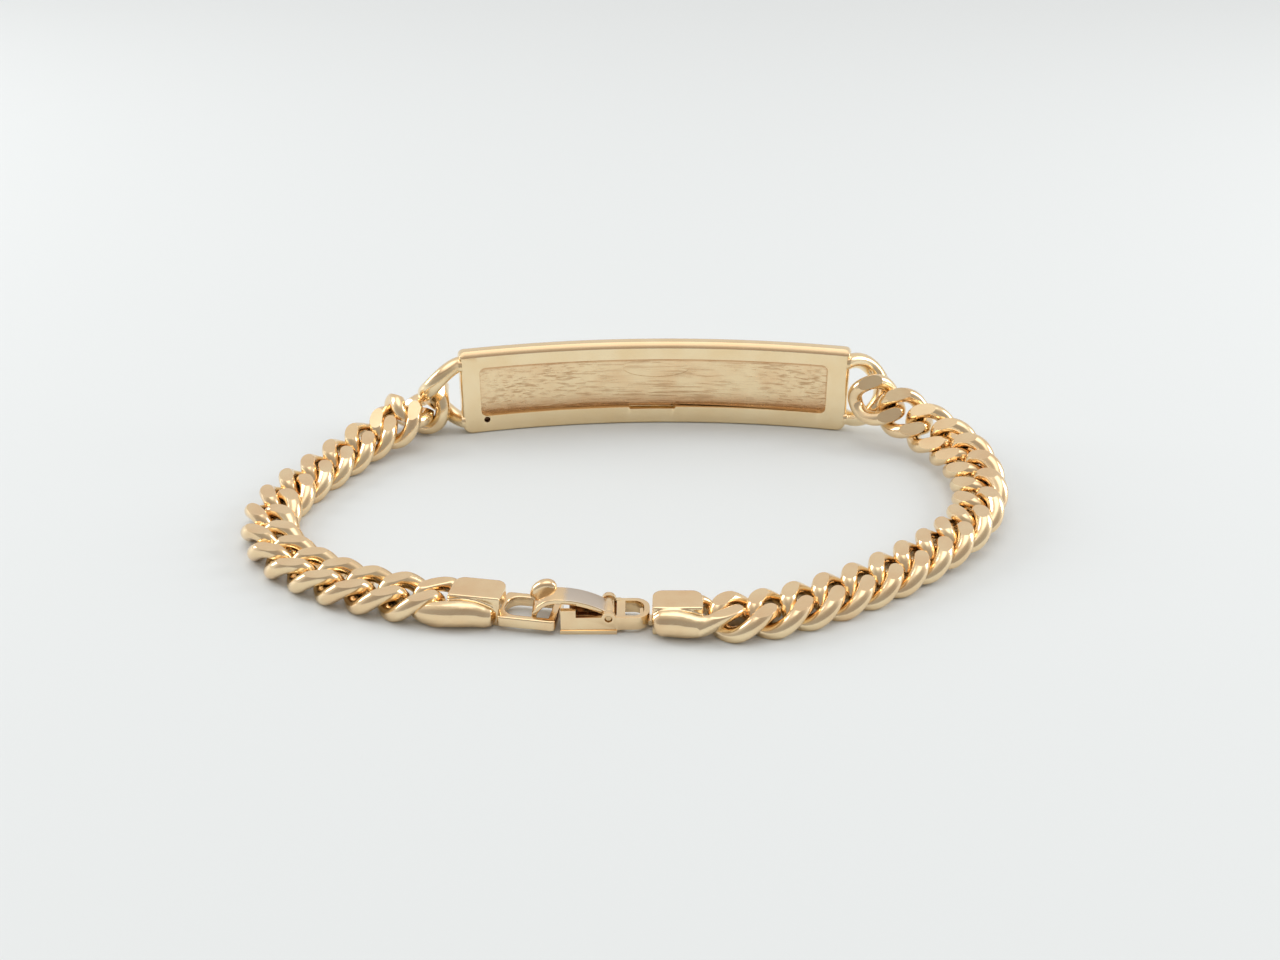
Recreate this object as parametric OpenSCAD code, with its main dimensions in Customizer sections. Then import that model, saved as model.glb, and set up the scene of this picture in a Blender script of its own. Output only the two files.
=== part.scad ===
// Identity bracelet: a curved plate, two runs of flat-cut twisted curb links and a fold-over clasp.
// It lies closed on a table. +Z is up and the origin is under the middle of the bracelet.
// Each run is laid along a smooth route, one link after another, from the plate to its cap.

/* [Plate] */
// Height of the plate, which stands on its long edge
plate_height = 8.9; // [8.5:0.1:9.5]
// Thickness of the plate
plate_thick = 1.6; // [1.4:0.1:1.8]
// Inner radius of the plate's curve
plate_radius = 80.7; // [78:0.1:84]
// Half of the angle that the plate spans
plate_half_angle = 13.9; // [13.5:0.1:14.1]
// Radius of the plate's rounded corners
plate_corner = 1; // [0.5:0.1:1.5]
// Length of the shallow recess in the plate's inner face
recess_length = 35; // [30:0.5:35.5]
// Height of the recess
recess_height = 5.4; // [4.5:0.1:6]
// Depth of the recess
recess_depth = 0.7; // [0.4:0.1:0.9]
// Half length of the half ring at each end of the plate, along the chain
plate_ring_reach = 3.4; // [3.2:0.1:3.6]
// Half width of that half ring, to the middle of its wire
plate_ring_width = 3.3; // [3.1:0.1:3.4]
// Thickness of that half ring's wire
plate_ring_wire = 1.5; // [1.3:0.1:1.6]

/* [Chain] */
// Distance from one link to the next along the chain
link_pitch = 3.06; // [3.04:0.01:3.08]
// Half length of a link, to the middle of its wire
link_reach = 2.3; // [2.25:0.01:2.35]
// Half width of a link, to the middle of its wire
link_width = 1.88; // [1.8:0.01:1.95]
// Thickness of the link wire
link_wire = 1.32; // [1.2:0.01:1.34]
// Angle by which each link is twisted from end to end
link_twist = 108; // [104:1:112]
// Thickness of the chain between its two ground flats
link_flat = 2.35; // [2.2:0.05:2.5]
// Sides round a link
link_sides = 16; // [12:2:20]
// Sides of the link wire
wire_sides = 6; // [5:1:8]

/* [Clasp] */
// Length of the cap block at each end of the chain
cap_length = 3.9; // [3.6:0.1:4.1]
// Width of a cap block
cap_width = 3.9; // [3.6:0.1:4]
// Height of a cap block
cap_height = 2.7; // [2.5:0.1:2.8]
// Half length of a cap's half ring
cap_ring_reach = 3.3; // [3.2:0.1:3.4]
// Angle of the left cap and its catch ring to the clasp
catch_yaw = -10; // [-11:0.5:-9]
// Width of the clasp cover
cover_width = 2; // [1.8:0.1:2]
// Thickness of the clasp cover
cover_thick = 0.42; // [0.35:0.01:0.45]
// Diameter of the hinge pin
pin_diameter = 0.6; // [0.5:0.05:0.65]
// Radial clearance between the cover's knuckle and the hinge pin
pin_clearance = 0.03; // [0.02:0.01:0.05]

/* [Hidden] */
$fn = 48;
gold = "#dcc48e";
gold_dark = "#b89458";
// Moves the whole bracelet so that its box stands centred over the origin
centring = [0.97, 6.88, 0];
// How far a soldered piece runs into its neighbour, and a cut runs past the material
solder = 0.1;
overcut = 1;

// Middle of the plate's inner face on the table, and the plate's turn about Z
plate_middle = [1.46, 12.15];
plate_yaw = 1;
ring_height = plate_height / 2;
recess_corner = 0.8;
// The plate's half rings turn back by this share of the plate's half angle; their wire has no ground flats
plate_ring_turn = 0.35;
plate_ring_flat = 4;
// How far the half rings' straight stubs reach into the plate and the caps
stub_length = 0.7;
half_ring_steps = 10;
half_ring_sides = 8;

// Routes of the two runs: x, y, z and roll; roll 0 stands a link's flats upright, 90 lays them down
route_right = [
    [20.2, 8.4, 5.9, 24],
    [24.9, 7.6, 4.1, 42],
    [28.6, 5.0, 2.7, 48],
    [31.0, 0.2, 2.4, 55],
    [31.3, -5.8, 2.1, 66],
    [29.4, -11.0, 1.8, 76],
    [24.9, -15.9, 1.45, 87],
    [18.9, -20.4, 1.2, 90],
    [11.2, -24.4, 1.2, 90],
    [5.0, -25.3, 1.2, 90]
];
route_left = [
    [-22.6, 9.1, 3.6, 50],
    [-26.1, 5.8, 2.0, 84],
    [-29.6, 0.8, 1.3, 90],
    [-32.4, -4.6, 1.2, 90],
    [-33.3, -9.8, 1.2, 90],
    [-31.1, -15.3, 1.2, 90],
    [-26.1, -19.5, 1.2, 90],
    [-19.9, -22.1, 1.2, 90],
    [-12.5, -23.3, 1.2, 90]
];
// The left run's first links lie bunched up by the plate: centre, long direction and flat direction
loose_left = [
    [[-21.35, 11.0, 2.55], [-0.49, -0.58, -0.64], [-0.44, -0.47, 0.77]],
    [[-23.45, 9.45, 2.45], [-0.23, -0.74, 0.63], [0.33, 0.55, 0.77]],
    [[-24.1, 7.1, 2.7], [-0.68, -0.65, -0.35], [-0.10, -0.38, 0.92]]
];
// Distance along its route of the right run's first link, and of the left run's first that isn't loose
start_right = 3.67;
start_left = 5.56;
// The left run lies a little more stretched than the right one
pitch_left = 1.017 * link_pitch;
route_steps = 14;

// Right cap: middle of its block on the table
cap_right_at = [2.95, -24.85];
// Left cap: middle of its block on the table
cap_left_at = [-13.15, -23.45];
cap_corner = 1.1;
cap_edge = 0.5;
cap_ring_width = 2.0;
cap_ring_wire = 1.3;
cap_ring_height = 1.2;

// Clasp base: a flat frame between the caps, on a short floor
base_left = -6.4;
base_left_back = -5.8;
base_right = 0.8;
base_front = -25.7;
base_back = -22.7;
rail_width = 0.42;
rail_bottom = 0.3;
rail_top = 1.5;
ear_length = 1.2;
ear_top = 2.15;
web_left = -1.9;
web_right = -1.2;
end_bar = 0.45;
end_bar_bottom = 0.75;
floor_height = 0.35;
floor_left = -6.5;
floor_right = -1.87;
floor_front = -26.15;

// Lug of the right cap that holds the end bar of the base
lug_left = 0;
lug_front = -24.85;
lug_width = 0.9;
lug_bottom = 0.2;
lug_thick = 0.45;
lug_top = 1.3;
lug_upright = 0.25;
lug_root = 0.3;

// Hinge of the cover: the pin lies along Y
hinge_x = -2.55;
hinge_z = 1.4;
knuckle_radius = 0.5;
cover_front = -25.2;
// Radial gap between the pin and the base's lugs, and how far the pin's ends lie inside their faces
bore_gap = 0.02;
pin_inset = 0.05;

// Side view of the cover: a long arch, and a tighter bend down to the tongue, both under one crest
crest_x = -6.8;
crest_z = 2.88;
arch_radius = 7.8;
bend_radius = 2.13;
tongue_bottom = 0.65;
tongue_top = 1.6;
tongue_inset = 0.3;
// Thumb tab on the far side of the cover
tab_x = -7.75;
tab_z = 2.45;
tab_radius = 1;
tab_thick = 0.75;

// Catch ring: a flat rectangle on the left cap
catch_length = 4.85;
catch_width = 3.85;
catch_bar = 0.65;
catch_offset = 0.35;
catch_bottom = 0.4;
catch_top = 1.35;
catch_corner = 0.35;
catch_root = 0.2;

function unit(v) = v / norm(v);
function place_of(v) = [v[0], v[1], v[2]];

// Smooth curve through the stations of a route
function station_before(p, i) = i > 0 ? p[i - 1] : 2 * p[0] - p[1];
function station_after(p, i) = i + 2 < len(p) ? p[i + 2] : 2 * p[i + 1] - p[i];
function blend(a, b, c, d, t) =
    0.5 * (2 * b + (c - a) * t + (2 * a - 5 * b + 4 * c - d) * t * t + (3 * b - a - 3 * c + d) * t * t * t);
function route_points(p) = [
    for (i = [0 : len(p) - 2], k = [0 : route_steps - 1])
        blend(station_before(p, i), p[i], p[i + 1], station_after(p, i), k / route_steps),
    p[len(p) - 1]
];
function travelled(r, i) = i == 0 ? 0 : travelled(r, i - 1) + norm(place_of(r[i] - r[i - 1]));
// One lookup table per coordinate, against the distance along the route
function route_tables(r) = let (far = [for (i = [0 : len(r) - 1]) travelled(r, i)])
    [for (k = [0 : 3]) [for (i = [0 : len(r) - 1]) [far[i], r[i][k]]]];
tables_right = route_tables(route_points(route_right));
tables_left = route_tables(route_points(route_left));
function along(tables, s) = [for (table = tables) lookup(s, table)];

// Frame of a link at distance s: centre, then its long, wide and flat directions
function link_frame(tables, side, s) =
    let (
        here = along(tables, s),
        ahead = unit(place_of(along(tables, s + link_pitch / 2) - along(tables, s - link_pitch / 2))),
        outward = side * unit(cross(ahead, [0, 0, 1])),
        level = unit(cross(ahead, outward)),
        upward = level[2] < 0 ? -level : level,
        flat = upward * sin(here[3]) - outward * cos(here[3])
    )
    [place_of(here), ahead, cross(flat, ahead), flat];
function loose_frame(p) =
    let (long = unit(p[1]), flat = unit(p[2] - (p[2] * long) * long))
    [p[0], long, cross(flat, long), flat];
function in_frame(f, p) = f[0] + f[1] * p[0] + f[2] * p[1] + f[3] * p[2];

// A point of a twisted link: u runs round the link, w round its wire
function twisted(p, q) = [p[0], p[1] * cos(q) - p[2] * sin(q), p[1] * sin(q) + p[2] * cos(q)];
function wire_point(u, w, reach, width, wire) =
    let (
        out = unit([width * cos(u), reach * sin(u)]),
        x = reach * cos(u) + out[0] * wire / 2 * cos(w),
        y = width * sin(u) + out[1] * wire / 2 * cos(w)
    )
    twisted([x, y, wire / 2 * sin(w)], -link_twist * x / (2 * reach));
function ground(p, flat) = [p[0], p[1], max(-flat / 2, min(flat / 2, p[2]))];
function side_angle(k, sides) = 360 * (k + 0.5) / sides;

// Two triangles for each patch between ring i and the next ring
function tube_faces(rings, sides, closed) = [
    for (i = [0 : rings - (closed ? 1 : 2)], k = [0 : sides - 1])
        let (
            j = (i + 1) % rings,
            n = (k + 1) % sides,
            a = i * sides + k,
            b = j * sides + k,
            c = j * sides + n,
            d = i * sides + n
        )
        each [[a, c, b], [a, d, c]]
];

// Closed link in the frame f
module twisted_link(f) {
    color(gold)
        polyhedron(
            [for (i = [0 : link_sides - 1], k = [0 : wire_sides - 1])
                in_frame(f, ground(wire_point(360 * i / link_sides, side_angle(k, wire_sides),
                    link_reach, link_width, link_wire), link_flat))],
            tube_faces(link_sides, wire_sides, true));
}

// Half link whose two ends run straight into what it is soldered to; it opens towards -X of the frame f
module half_ring(f, reach, width, wire, flat, sides) {
    turns = [for (i = [0 : half_ring_steps]) 90 + 180 * i / half_ring_steps];
    inner = [for (u = turns, k = [0 : sides - 1])
        ground(wire_point(u, side_angle(k, sides), reach, width, wire), flat)];
    first = [for (k = [0 : sides - 1]) inner[k] + [stub_length, 0, 0]];
    last = [for (k = [0 : sides - 1]) inner[len(inner) - sides + k] + [stub_length, 0, 0]];
    points = [for (p = concat(first, inner, last)) in_frame(f, p)];
    rings = half_ring_steps + 3;
    polyhedron(points, concat(
        tube_faces(rings, sides, false),
        [[for (k = [sides - 1 : -1 : 0]) k]],
        [[for (k = [0 : sides - 1]) (rings - 1) * sides + k]]));
}

// Flat shape of a rectangle with round corners, centred
module round_rect(size, r) {
    square([size[0] - 2 * r, size[1]], center = true);
    square([size[0], size[1] - 2 * r], center = true);
    for (sx = [-1, 1], sy = [-1, 1])
        translate([sx * (size[0] / 2 - r), sy * (size[1] / 2 - r)]) circle(r);
}

// Removes the material outside a round corner; the corner is at the origin, the material in +X +Y
module corner_waste(r) {
    difference() {
        translate([-overcut, -overcut]) square(r + overcut);
        translate([r, r]) circle(r);
    }
}

function plate_end(side) = 90 + plate_yaw - side * plate_half_angle;
plate_centre = plate_middle + plate_radius * [sin(plate_yaw), -cos(plate_yaw)];
function plate_end_middle(side) = [
    plate_centre[0] + (plate_radius + plate_thick / 2) * cos(plate_end(side)),
    plate_centre[1] + (plate_radius + plate_thick / 2) * sin(plate_end(side)),
    ring_height
];
// The half ring leaves the plate's end square to it, turned back a little towards X
function plate_ring_frame(side) =
    let (
        turn = side * plate_half_angle * plate_ring_turn,
        out = [side * cos(turn), -side * sin(turn), 0],
        flat = side * [out[1], -out[0], 0]
    )
    [plate_end_middle(side), -out, cross(flat, -out), flat];

module id_plate() {
    translate(centring) {
        color(gold) difference() {
            translate([plate_centre[0], plate_centre[1], 0])
                rotate([0, 0, plate_end(1)])
                    rotate_extrude(angle = 2 * plate_half_angle, $fn = 360)
                        translate([plate_radius, 0]) square([plate_thick, plate_height]);
            for (side = [-1, 1], top = [0, 1])
                translate([plate_centre[0], plate_centre[1], top * plate_height])
                    rotate([0, 0, plate_end(side)])
                        mirror([0, 0, top])
                            mirror([0, side < 0 ? 1 : 0, 0])
                                translate([plate_radius - overcut, 0, 0])
                                    rotate([90, 0, 90])
                                        linear_extrude(plate_thick + 2 * overcut)
                                            corner_waste(plate_corner);
            plate_recess();
        }
        for (side = [-1, 1])
            color(gold)
                half_ring(plate_ring_frame(side), plate_ring_reach, plate_ring_width,
                    plate_ring_wire, plate_ring_flat, half_ring_sides);
    }
}

// Shallow recess with round corners, its floor parallel to the plate's face
module plate_recess() {
    translate([plate_centre[0], plate_centre[1], 0])
        rotate([0, 0, plate_yaw])
            intersection() {
                rotate([0, 0, 90 - plate_half_angle])
                    rotate_extrude(angle = 2 * plate_half_angle, $fn = 360)
                        translate([plate_radius - overcut, 0])
                            square([recess_depth + overcut, plate_height]);
                translate([0, plate_radius + overcut, plate_height / 2])
                    rotate([90, 0, 0])
                        linear_extrude(2 * (plate_thick + overcut))
                            round_rect([recess_length, recess_height], recess_corner);
            }
}

module link_right(i) {
    translate(centring) twisted_link(link_frame(tables_right, -1, start_right + link_pitch * (i - 1)));
}

module link_left(i) {
    loose = len(loose_left);
    translate(centring) twisted_link(i <= loose
        ? loose_frame(loose_left[i - 1])
        : link_frame(tables_left, 1, start_left + pitch_left * (i - 1 - loose)));
}

// Block of a cap with round corners and softened top edges, its length along X, centred on the table
module cap_block() {
    intersection() {
        linear_extrude(cap_height) round_rect([cap_length, cap_width], cap_corner);
        translate([-cap_length, 0, cap_height / 2 - cap_edge])
            rotate([90, 0, 90])
                linear_extrude(2 * cap_length)
                    round_rect([cap_width, cap_height + 2 * cap_edge], 2 * cap_edge);
    }
}

// Half ring of a cap, soldered to the end of its block; inward points from the ring to the clasp
module cap_ring(middle, inward) {
    root = [middle[0], middle[1], cap_ring_height] - inward * (cap_length / 2 - solder);
    half_ring([root, inward, [-inward[1], inward[0], 0], [0, 0, 1]],
        cap_ring_reach, cap_ring_width, cap_ring_wire, link_flat, half_ring_sides);
}

module cap_right() {
    lug_right = cap_right_at[0] - cap_length / 2 + lug_root;
    translate(centring) color(gold) {
        translate([cap_right_at[0], cap_right_at[1], 0]) cap_block();
        cap_ring(cap_right_at, [-1, 0, 0]);
        translate([lug_left, lug_front, lug_bottom])
            cube([lug_right - lug_left, lug_width, lug_thick]);
        translate([lug_left, lug_front, lug_bottom])
            cube([lug_upright, lug_width, lug_top - lug_bottom]);
    }
}

module cap_left() {
    translate(centring) color(gold) {
        translate([cap_left_at[0], cap_left_at[1], 0]) rotate([0, 0, catch_yaw]) {
            cap_block();
            translate([cap_length / 2 - catch_root, catch_offset, catch_bottom]) catch_ring();
        }
        cap_ring(cap_left_at, [cos(catch_yaw), sin(catch_yaw), 0]);
    }
}

// Flat rectangular ring that starts at the origin and runs along +X
module catch_ring() {
    linear_extrude(catch_top - catch_bottom)
        difference() {
            translate([catch_length / 2, 0]) round_rect([catch_length, catch_width], catch_corner);
            translate([catch_root, catch_bar - catch_width / 2])
                square([catch_length - catch_bar - catch_root, catch_width - 2 * catch_bar]);
        }
}

// A bar along Y between two values of Y
module across(front, back, r) {
    translate([0, back, 0]) rotate([90, 0, 0]) cylinder(h = back - front, r = r);
}

module clasp_base() {
    inner_front = base_front + rail_width;
    inner_back = base_back - rail_width;
    translate(centring) color(gold) difference() {
        union() {
            // Rails, ears and hinge lugs, front and back
            translate([base_left, base_front, rail_bottom])
                cube([base_right - base_left, rail_width, rail_top - rail_bottom]);
            translate([base_left_back, inner_back, rail_bottom])
                cube([base_right - base_left_back, rail_width, rail_top - rail_bottom]);
            translate([base_left, base_front, rail_bottom])
                cube([ear_length, rail_width, ear_top - rail_bottom]);
            translate([base_left_back, inner_back, rail_bottom])
                cube([ear_length, rail_width, ear_top - rail_bottom]);
            translate([hinge_x, 0, hinge_z]) {
                across(base_front, inner_front, knuckle_radius);
                across(inner_back, base_back, knuckle_radius);
            }
            // Web and end bar
            translate([web_left, base_front, rail_bottom])
                cube([web_right - web_left, base_back - base_front, rail_top - rail_bottom]);
            translate([base_right - end_bar, base_front, end_bar_bottom])
                cube([end_bar, base_back - base_front, rail_top - end_bar_bottom]);
            // Floor
            linear_extrude(floor_height)
                polygon([[floor_left, floor_front], [floor_right, floor_front], [floor_right, base_back],
                    [base_left_back, base_back], [floor_left, base_front]]);
        }
        translate([hinge_x, 0, hinge_z])
            across(base_front - overcut, base_back + overcut, pin_diameter / 2 + bore_gap);
    }
}

module clasp_pin() {
    translate(centring) color(gold_dark)
        translate([hinge_x, 0, hinge_z])
            across(base_front + pin_inset, base_back - pin_inset, pin_diameter / 2);
}

// Band of the given outer radius whose top lies at the crest
module crest_band(r) {
    translate([crest_x, crest_z - r]) difference() {
        circle(r);
        circle(r - cover_thick);
    }
}

// Side view of the cover's strap above the height low, its Y being the model's Z
module strap_side(low) {
    intersection() {
        crest_band(bend_radius);
        translate([crest_x - 2 * bend_radius, low]) square(2 * bend_radius);
    }
    intersection() {
        crest_band(arch_radius);
        translate([crest_x, low]) square([hinge_x - crest_x, crest_z]);
    }
}

module clasp_cover() {
    cover_back = cover_front + cover_width;
    translate(centring) color(gold) difference() {
        union() {
            translate([0, cover_back, 0]) rotate([90, 0, 0])
                linear_extrude(cover_width) strap_side(tongue_top - solder);
            translate([0, cover_back - tongue_inset, 0]) rotate([90, 0, 0])
                linear_extrude(cover_width - 2 * tongue_inset)
                    intersection() {
                        strap_side(tongue_bottom);
                        translate([crest_x - 2 * bend_radius, 0]) square([2 * bend_radius, tongue_top]);
                    }
            translate([hinge_x, 0, hinge_z]) across(cover_front, cover_back, knuckle_radius);
            translate([tab_x, 0, tab_z])
                across(cover_back - tab_thick / 2, cover_back + tab_thick / 2, tab_radius);
        }
        translate([hinge_x, 0, hinge_z])
            across(cover_front - overcut, cover_back + overcut, pin_diameter / 2 + pin_clearance);
    }
}

id_plate();
link_right(1);  // link_right_01
link_right(2);  // link_right_02
link_right(3);  // link_right_03
link_right(4);  // link_right_04
link_right(5);  // link_right_05
link_right(6);  // link_right_06
link_right(7);  // link_right_07
link_right(8);  // link_right_08
link_right(9);  // link_right_09
link_right(10);  // link_right_10
link_right(11);  // link_right_11
link_right(12);  // link_right_12
link_right(13);  // link_right_13
link_right(14);  // link_right_14
link_right(15);  // link_right_15
link_right(16);  // link_right_16
link_right(17);  // link_right_17
link_left(1);  // link_left_01
link_left(2);  // link_left_02
link_left(3);  // link_left_03
link_left(4);  // link_left_04
link_left(5);  // link_left_05
link_left(6);  // link_left_06
link_left(7);  // link_left_07
link_left(8);  // link_left_08
link_left(9);  // link_left_09
link_left(10);  // link_left_10
link_left(11);  // link_left_11
link_left(12);  // link_left_12
link_left(13);  // link_left_13
link_left(14);  // link_left_14
link_left(15);  // link_left_15
link_left(16);  // link_left_16
cap_right();
cap_left();
clasp_base();
clasp_pin();
clasp_cover();
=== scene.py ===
import math

import bpy
import numpy as np
from mathutils import Matrix, Vector


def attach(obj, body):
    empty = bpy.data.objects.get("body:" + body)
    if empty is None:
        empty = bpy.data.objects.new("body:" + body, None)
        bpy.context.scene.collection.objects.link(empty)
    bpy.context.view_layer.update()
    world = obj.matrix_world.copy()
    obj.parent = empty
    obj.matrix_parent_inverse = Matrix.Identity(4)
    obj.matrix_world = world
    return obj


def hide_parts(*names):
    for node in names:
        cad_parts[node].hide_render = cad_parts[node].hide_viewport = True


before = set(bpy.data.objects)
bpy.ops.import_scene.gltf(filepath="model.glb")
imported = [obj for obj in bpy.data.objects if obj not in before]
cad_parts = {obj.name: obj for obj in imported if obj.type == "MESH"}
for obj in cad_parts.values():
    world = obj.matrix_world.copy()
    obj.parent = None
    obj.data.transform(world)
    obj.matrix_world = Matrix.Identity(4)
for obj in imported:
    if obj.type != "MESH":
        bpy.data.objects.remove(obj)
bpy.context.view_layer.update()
print("frame loaded:", len(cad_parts), "nodes")

# Pieces are modelled in millimetres, and the layout brings each one into the frame at the end
mm = 0.001
layout = Matrix.Scale(mm, 4) @ Matrix.Translation((0.97, 6.88, 0))
overcut = 1  # how far a cutter runs past what it cuts
touch = 1e-3  # points this close lie on the same face

cameraView = {
    "lookAt": (0.00097, 0.00688, 0),
    "distance": 0.1444,
    "elevation": 29,
    "lens": 42.19,
    "sensor": 36,
    "clipStart": 0.005,
}


def placeCamera():
    tilt = math.radians(cameraView["elevation"])
    lookAt = Vector(cameraView["lookAt"])
    away = Vector((0, -math.cos(tilt), math.sin(tilt))) * cameraView["distance"]
    bpy.ops.object.camera_add(location=lookAt + away, rotation=(math.pi / 2 - tilt, 0, 0))
    camera = bpy.context.object
    camera.name = "camera"
    camera.data.lens = cameraView["lens"]
    camera.data.sensor_width = cameraView["sensor"]
    camera.data.clip_start = cameraView["clipStart"]
    bpy.context.scene.camera = camera


# Small helpers for modelling by hand

def deselect():
    if bpy.context.object and bpy.context.object.mode != "OBJECT":
        bpy.ops.object.mode_set(mode="OBJECT")
    bpy.ops.object.select_all(action="DESELECT")


def makeActive(piece):
    deselect()
    piece.select_set(True)
    bpy.context.view_layer.objects.active = piece


def editAll(piece, mode="FACE"):
    makeActive(piece)
    bpy.ops.object.mode_set(mode="EDIT")
    bpy.ops.mesh.select_mode(type=mode)
    bpy.ops.mesh.select_all(action="SELECT")


def pickFaces(piece, wanted):
    editAll(piece)
    bpy.ops.mesh.select_all(action="DESELECT")
    bpy.ops.object.mode_set(mode="OBJECT")
    for face in piece.data.polygons:
        face.select = wanted(face)
    bpy.ops.object.mode_set(mode="EDIT")


def pickEdges(piece, wanted):
    editAll(piece, "EDGE")
    bpy.ops.mesh.select_all(action="DESELECT")
    bpy.ops.object.mode_set(mode="OBJECT")
    corners = piece.data.vertices
    for edge in piece.data.edges:
        edge.select = wanted(corners[edge.vertices[0]].co, corners[edge.vertices[1]].co)
    bpy.ops.object.mode_set(mode="EDIT")


def isUpright(a, b):
    return abs(a.z - b.z) > 0.5


def finishEdit():
    bpy.ops.object.mode_set(mode="OBJECT")


def bevelPicked(width, segments):
    bpy.ops.mesh.bevel(offset=width, segments=segments)
    finishEdit()


def cutOff(point, direction):
    # Takes away what is selected past a plane, and closes the cut
    bpy.ops.mesh.bisect(
        plane_co=point, plane_no=direction, use_fill=True, clear_outer=True, threshold=1e-5)


def applyModifier(piece, kind, **settings):
    makeActive(piece)
    modifier = piece.modifiers.new(kind, kind)
    for name, value in settings.items():
        setattr(modifier, name, value)
    bpy.ops.object.modifier_apply(modifier=modifier.name)


def edged(piece, width, angle=40, segments=3):
    applyModifier(piece, "BEVEL", width=width, segments=segments, limit_method="ANGLE",
                  angle_limit=math.radians(angle))
    return piece


def combine(piece, others, operation="UNION"):
    for other in others:
        applyModifier(piece, "BOOLEAN", operation=operation, solver="EXACT", object=other)
        bpy.data.objects.remove(other)


def joinTo(piece, others):
    makeActive(piece)
    for other in others:
        other.select_set(True)
    bpy.ops.object.join()


def copyOf(piece, name):
    twin = piece.copy()
    twin.data = piece.data.copy()
    twin.name = name
    bpy.context.scene.collection.objects.link(twin)
    return twin


def setInPlace(piece, place):
    piece.data.transform(piece.matrix_world)
    piece.matrix_world = Matrix.Identity(4)
    piece.data.transform(place)
    piece.data.update()


def block(low, high, name="block"):
    deselect()
    middle = [(a + b) / 2 for a, b in zip(low, high)]
    bpy.ops.mesh.primitive_cube_add(size=1, location=middle)
    piece = bpy.context.object
    piece.name = name
    piece.scale = [b - a for a, b in zip(low, high)]
    bpy.ops.object.transform_apply(location=True, rotation=True, scale=True)
    return piece


def rodAlongY(x, z, front, back, radius, sides=48):
    deselect()
    bpy.ops.mesh.primitive_cylinder_add(
        vertices=sides, radius=radius, depth=back - front,
        location=(x, (front + back) / 2, z), rotation=(math.pi / 2, 0, 0))
    bpy.ops.object.transform_apply(location=True, rotation=True, scale=True)
    return bpy.context.object


def smoothShade(piece, angle, weighted=False):
    makeActive(piece)
    bpy.ops.object.shade_smooth_by_angle(angle=math.radians(angle))
    if weighted:
        applyModifier(piece, "WEIGHTED_NORMAL", keep_sharp=True)


def handOver(piece, body, node):
    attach(piece, body)
    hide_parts(node)


# Materials

def sockets(group, inputs, outputs):
    for name, value in inputs.items():
        socket = group.interface.new_socket(name=name, in_out="INPUT", socket_type="NodeSocketFloat")
        socket.default_value = value
    for name in outputs:
        group.interface.new_socket(name=name, in_out="OUTPUT", socket_type="NodeSocketFloat")
    return group.nodes.new("NodeGroupInput"), group.nodes.new("NodeGroupOutput")


def newNode(tree, kind, **settings):
    node = tree.nodes.new(kind)
    for name, value in settings.items():
        setattr(node, name, value)
    return node


polishGrain = {
    "waveDetail": 3,
    "hairlineTurn": (0.4, 0.2, 0.7),
    "hairlineStretch": (0.06, 1, 1),
    "hairlineDetail": 4,
    "toneRange": (0.35, 0.68),
    "hairlineHeight": 0.35,
}


def buildPolishGroup():
    # Slow waves of hand polishing with fine hairlines over them
    group = bpy.data.node_groups.new("handPolish", "ShaderNodeTree")
    given, result = sockets(
        group, {"Wave Scale": 350, "Hairline Scale": 9000, "Gloss": 0.12, "Gloss Spread": 0.08},
        ("Tone", "Roughness", "Height"))
    link = group.links.new
    where = newNode(group, "ShaderNodeTexCoord")
    waves = newNode(group, "ShaderNodeTexNoise")
    waves.inputs["Detail"].default_value = polishGrain["waveDetail"]
    link(where.outputs["Object"], waves.inputs["Vector"])
    link(given.outputs["Wave Scale"], waves.inputs["Scale"])
    stretch = newNode(group, "ShaderNodeMapping")
    stretch.inputs["Rotation"].default_value = polishGrain["hairlineTurn"]
    stretch.inputs["Scale"].default_value = polishGrain["hairlineStretch"]
    link(where.outputs["Object"], stretch.inputs["Vector"])
    hairlines = newNode(group, "ShaderNodeTexNoise")
    hairlines.inputs["Detail"].default_value = polishGrain["hairlineDetail"]
    link(stretch.outputs["Vector"], hairlines.inputs["Vector"])
    link(given.outputs["Hairline Scale"], hairlines.inputs["Scale"])
    tone = newNode(group, "ShaderNodeMapRange")
    tone.inputs["From Min"].default_value, tone.inputs["From Max"].default_value = polishGrain["toneRange"]
    link(waves.outputs["Fac"], tone.inputs["Value"])
    link(tone.outputs["Result"], result.inputs["Tone"])
    spread = newNode(group, "ShaderNodeMath", operation="MULTIPLY_ADD")
    link(hairlines.outputs["Fac"], spread.inputs[0])
    link(given.outputs["Gloss Spread"], spread.inputs[1])
    link(given.outputs["Gloss"], spread.inputs[2])
    link(spread.outputs["Value"], result.inputs["Roughness"])
    height = newNode(group, "ShaderNodeMath", operation="MULTIPLY_ADD")
    height.inputs[1].default_value = polishGrain["hairlineHeight"]
    link(hairlines.outputs["Fac"], height.inputs[0])
    link(waves.outputs["Fac"], height.inputs[2])
    link(height.outputs["Value"], result.inputs["Height"])
    return group


def calc(tree, operation, *terms):
    node = newNode(tree, "ShaderNodeMath", operation=operation)
    for spot, term in enumerate(terms):
        if isinstance(term, (int, float)):
            node.inputs[spot].default_value = term
        else:
            tree.links.new(term, node.inputs[spot])
    return node.outputs["Value"]


def fade(tree, value, start, end):
    node = newNode(tree, "ShaderNodeMapRange", interpolation_type="SMOOTHSTEP")
    node.inputs["From Min"].default_value = start
    node.inputs["From Max"].default_value = end
    tree.links.new(value, node.inputs["Value"])
    return node.outputs["Result"]


def axesOf(tree, vector):
    split = newNode(tree, "ShaderNodeSeparateXYZ")
    tree.links.new(vector, split.inputs["Vector"])
    return split.outputs


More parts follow.
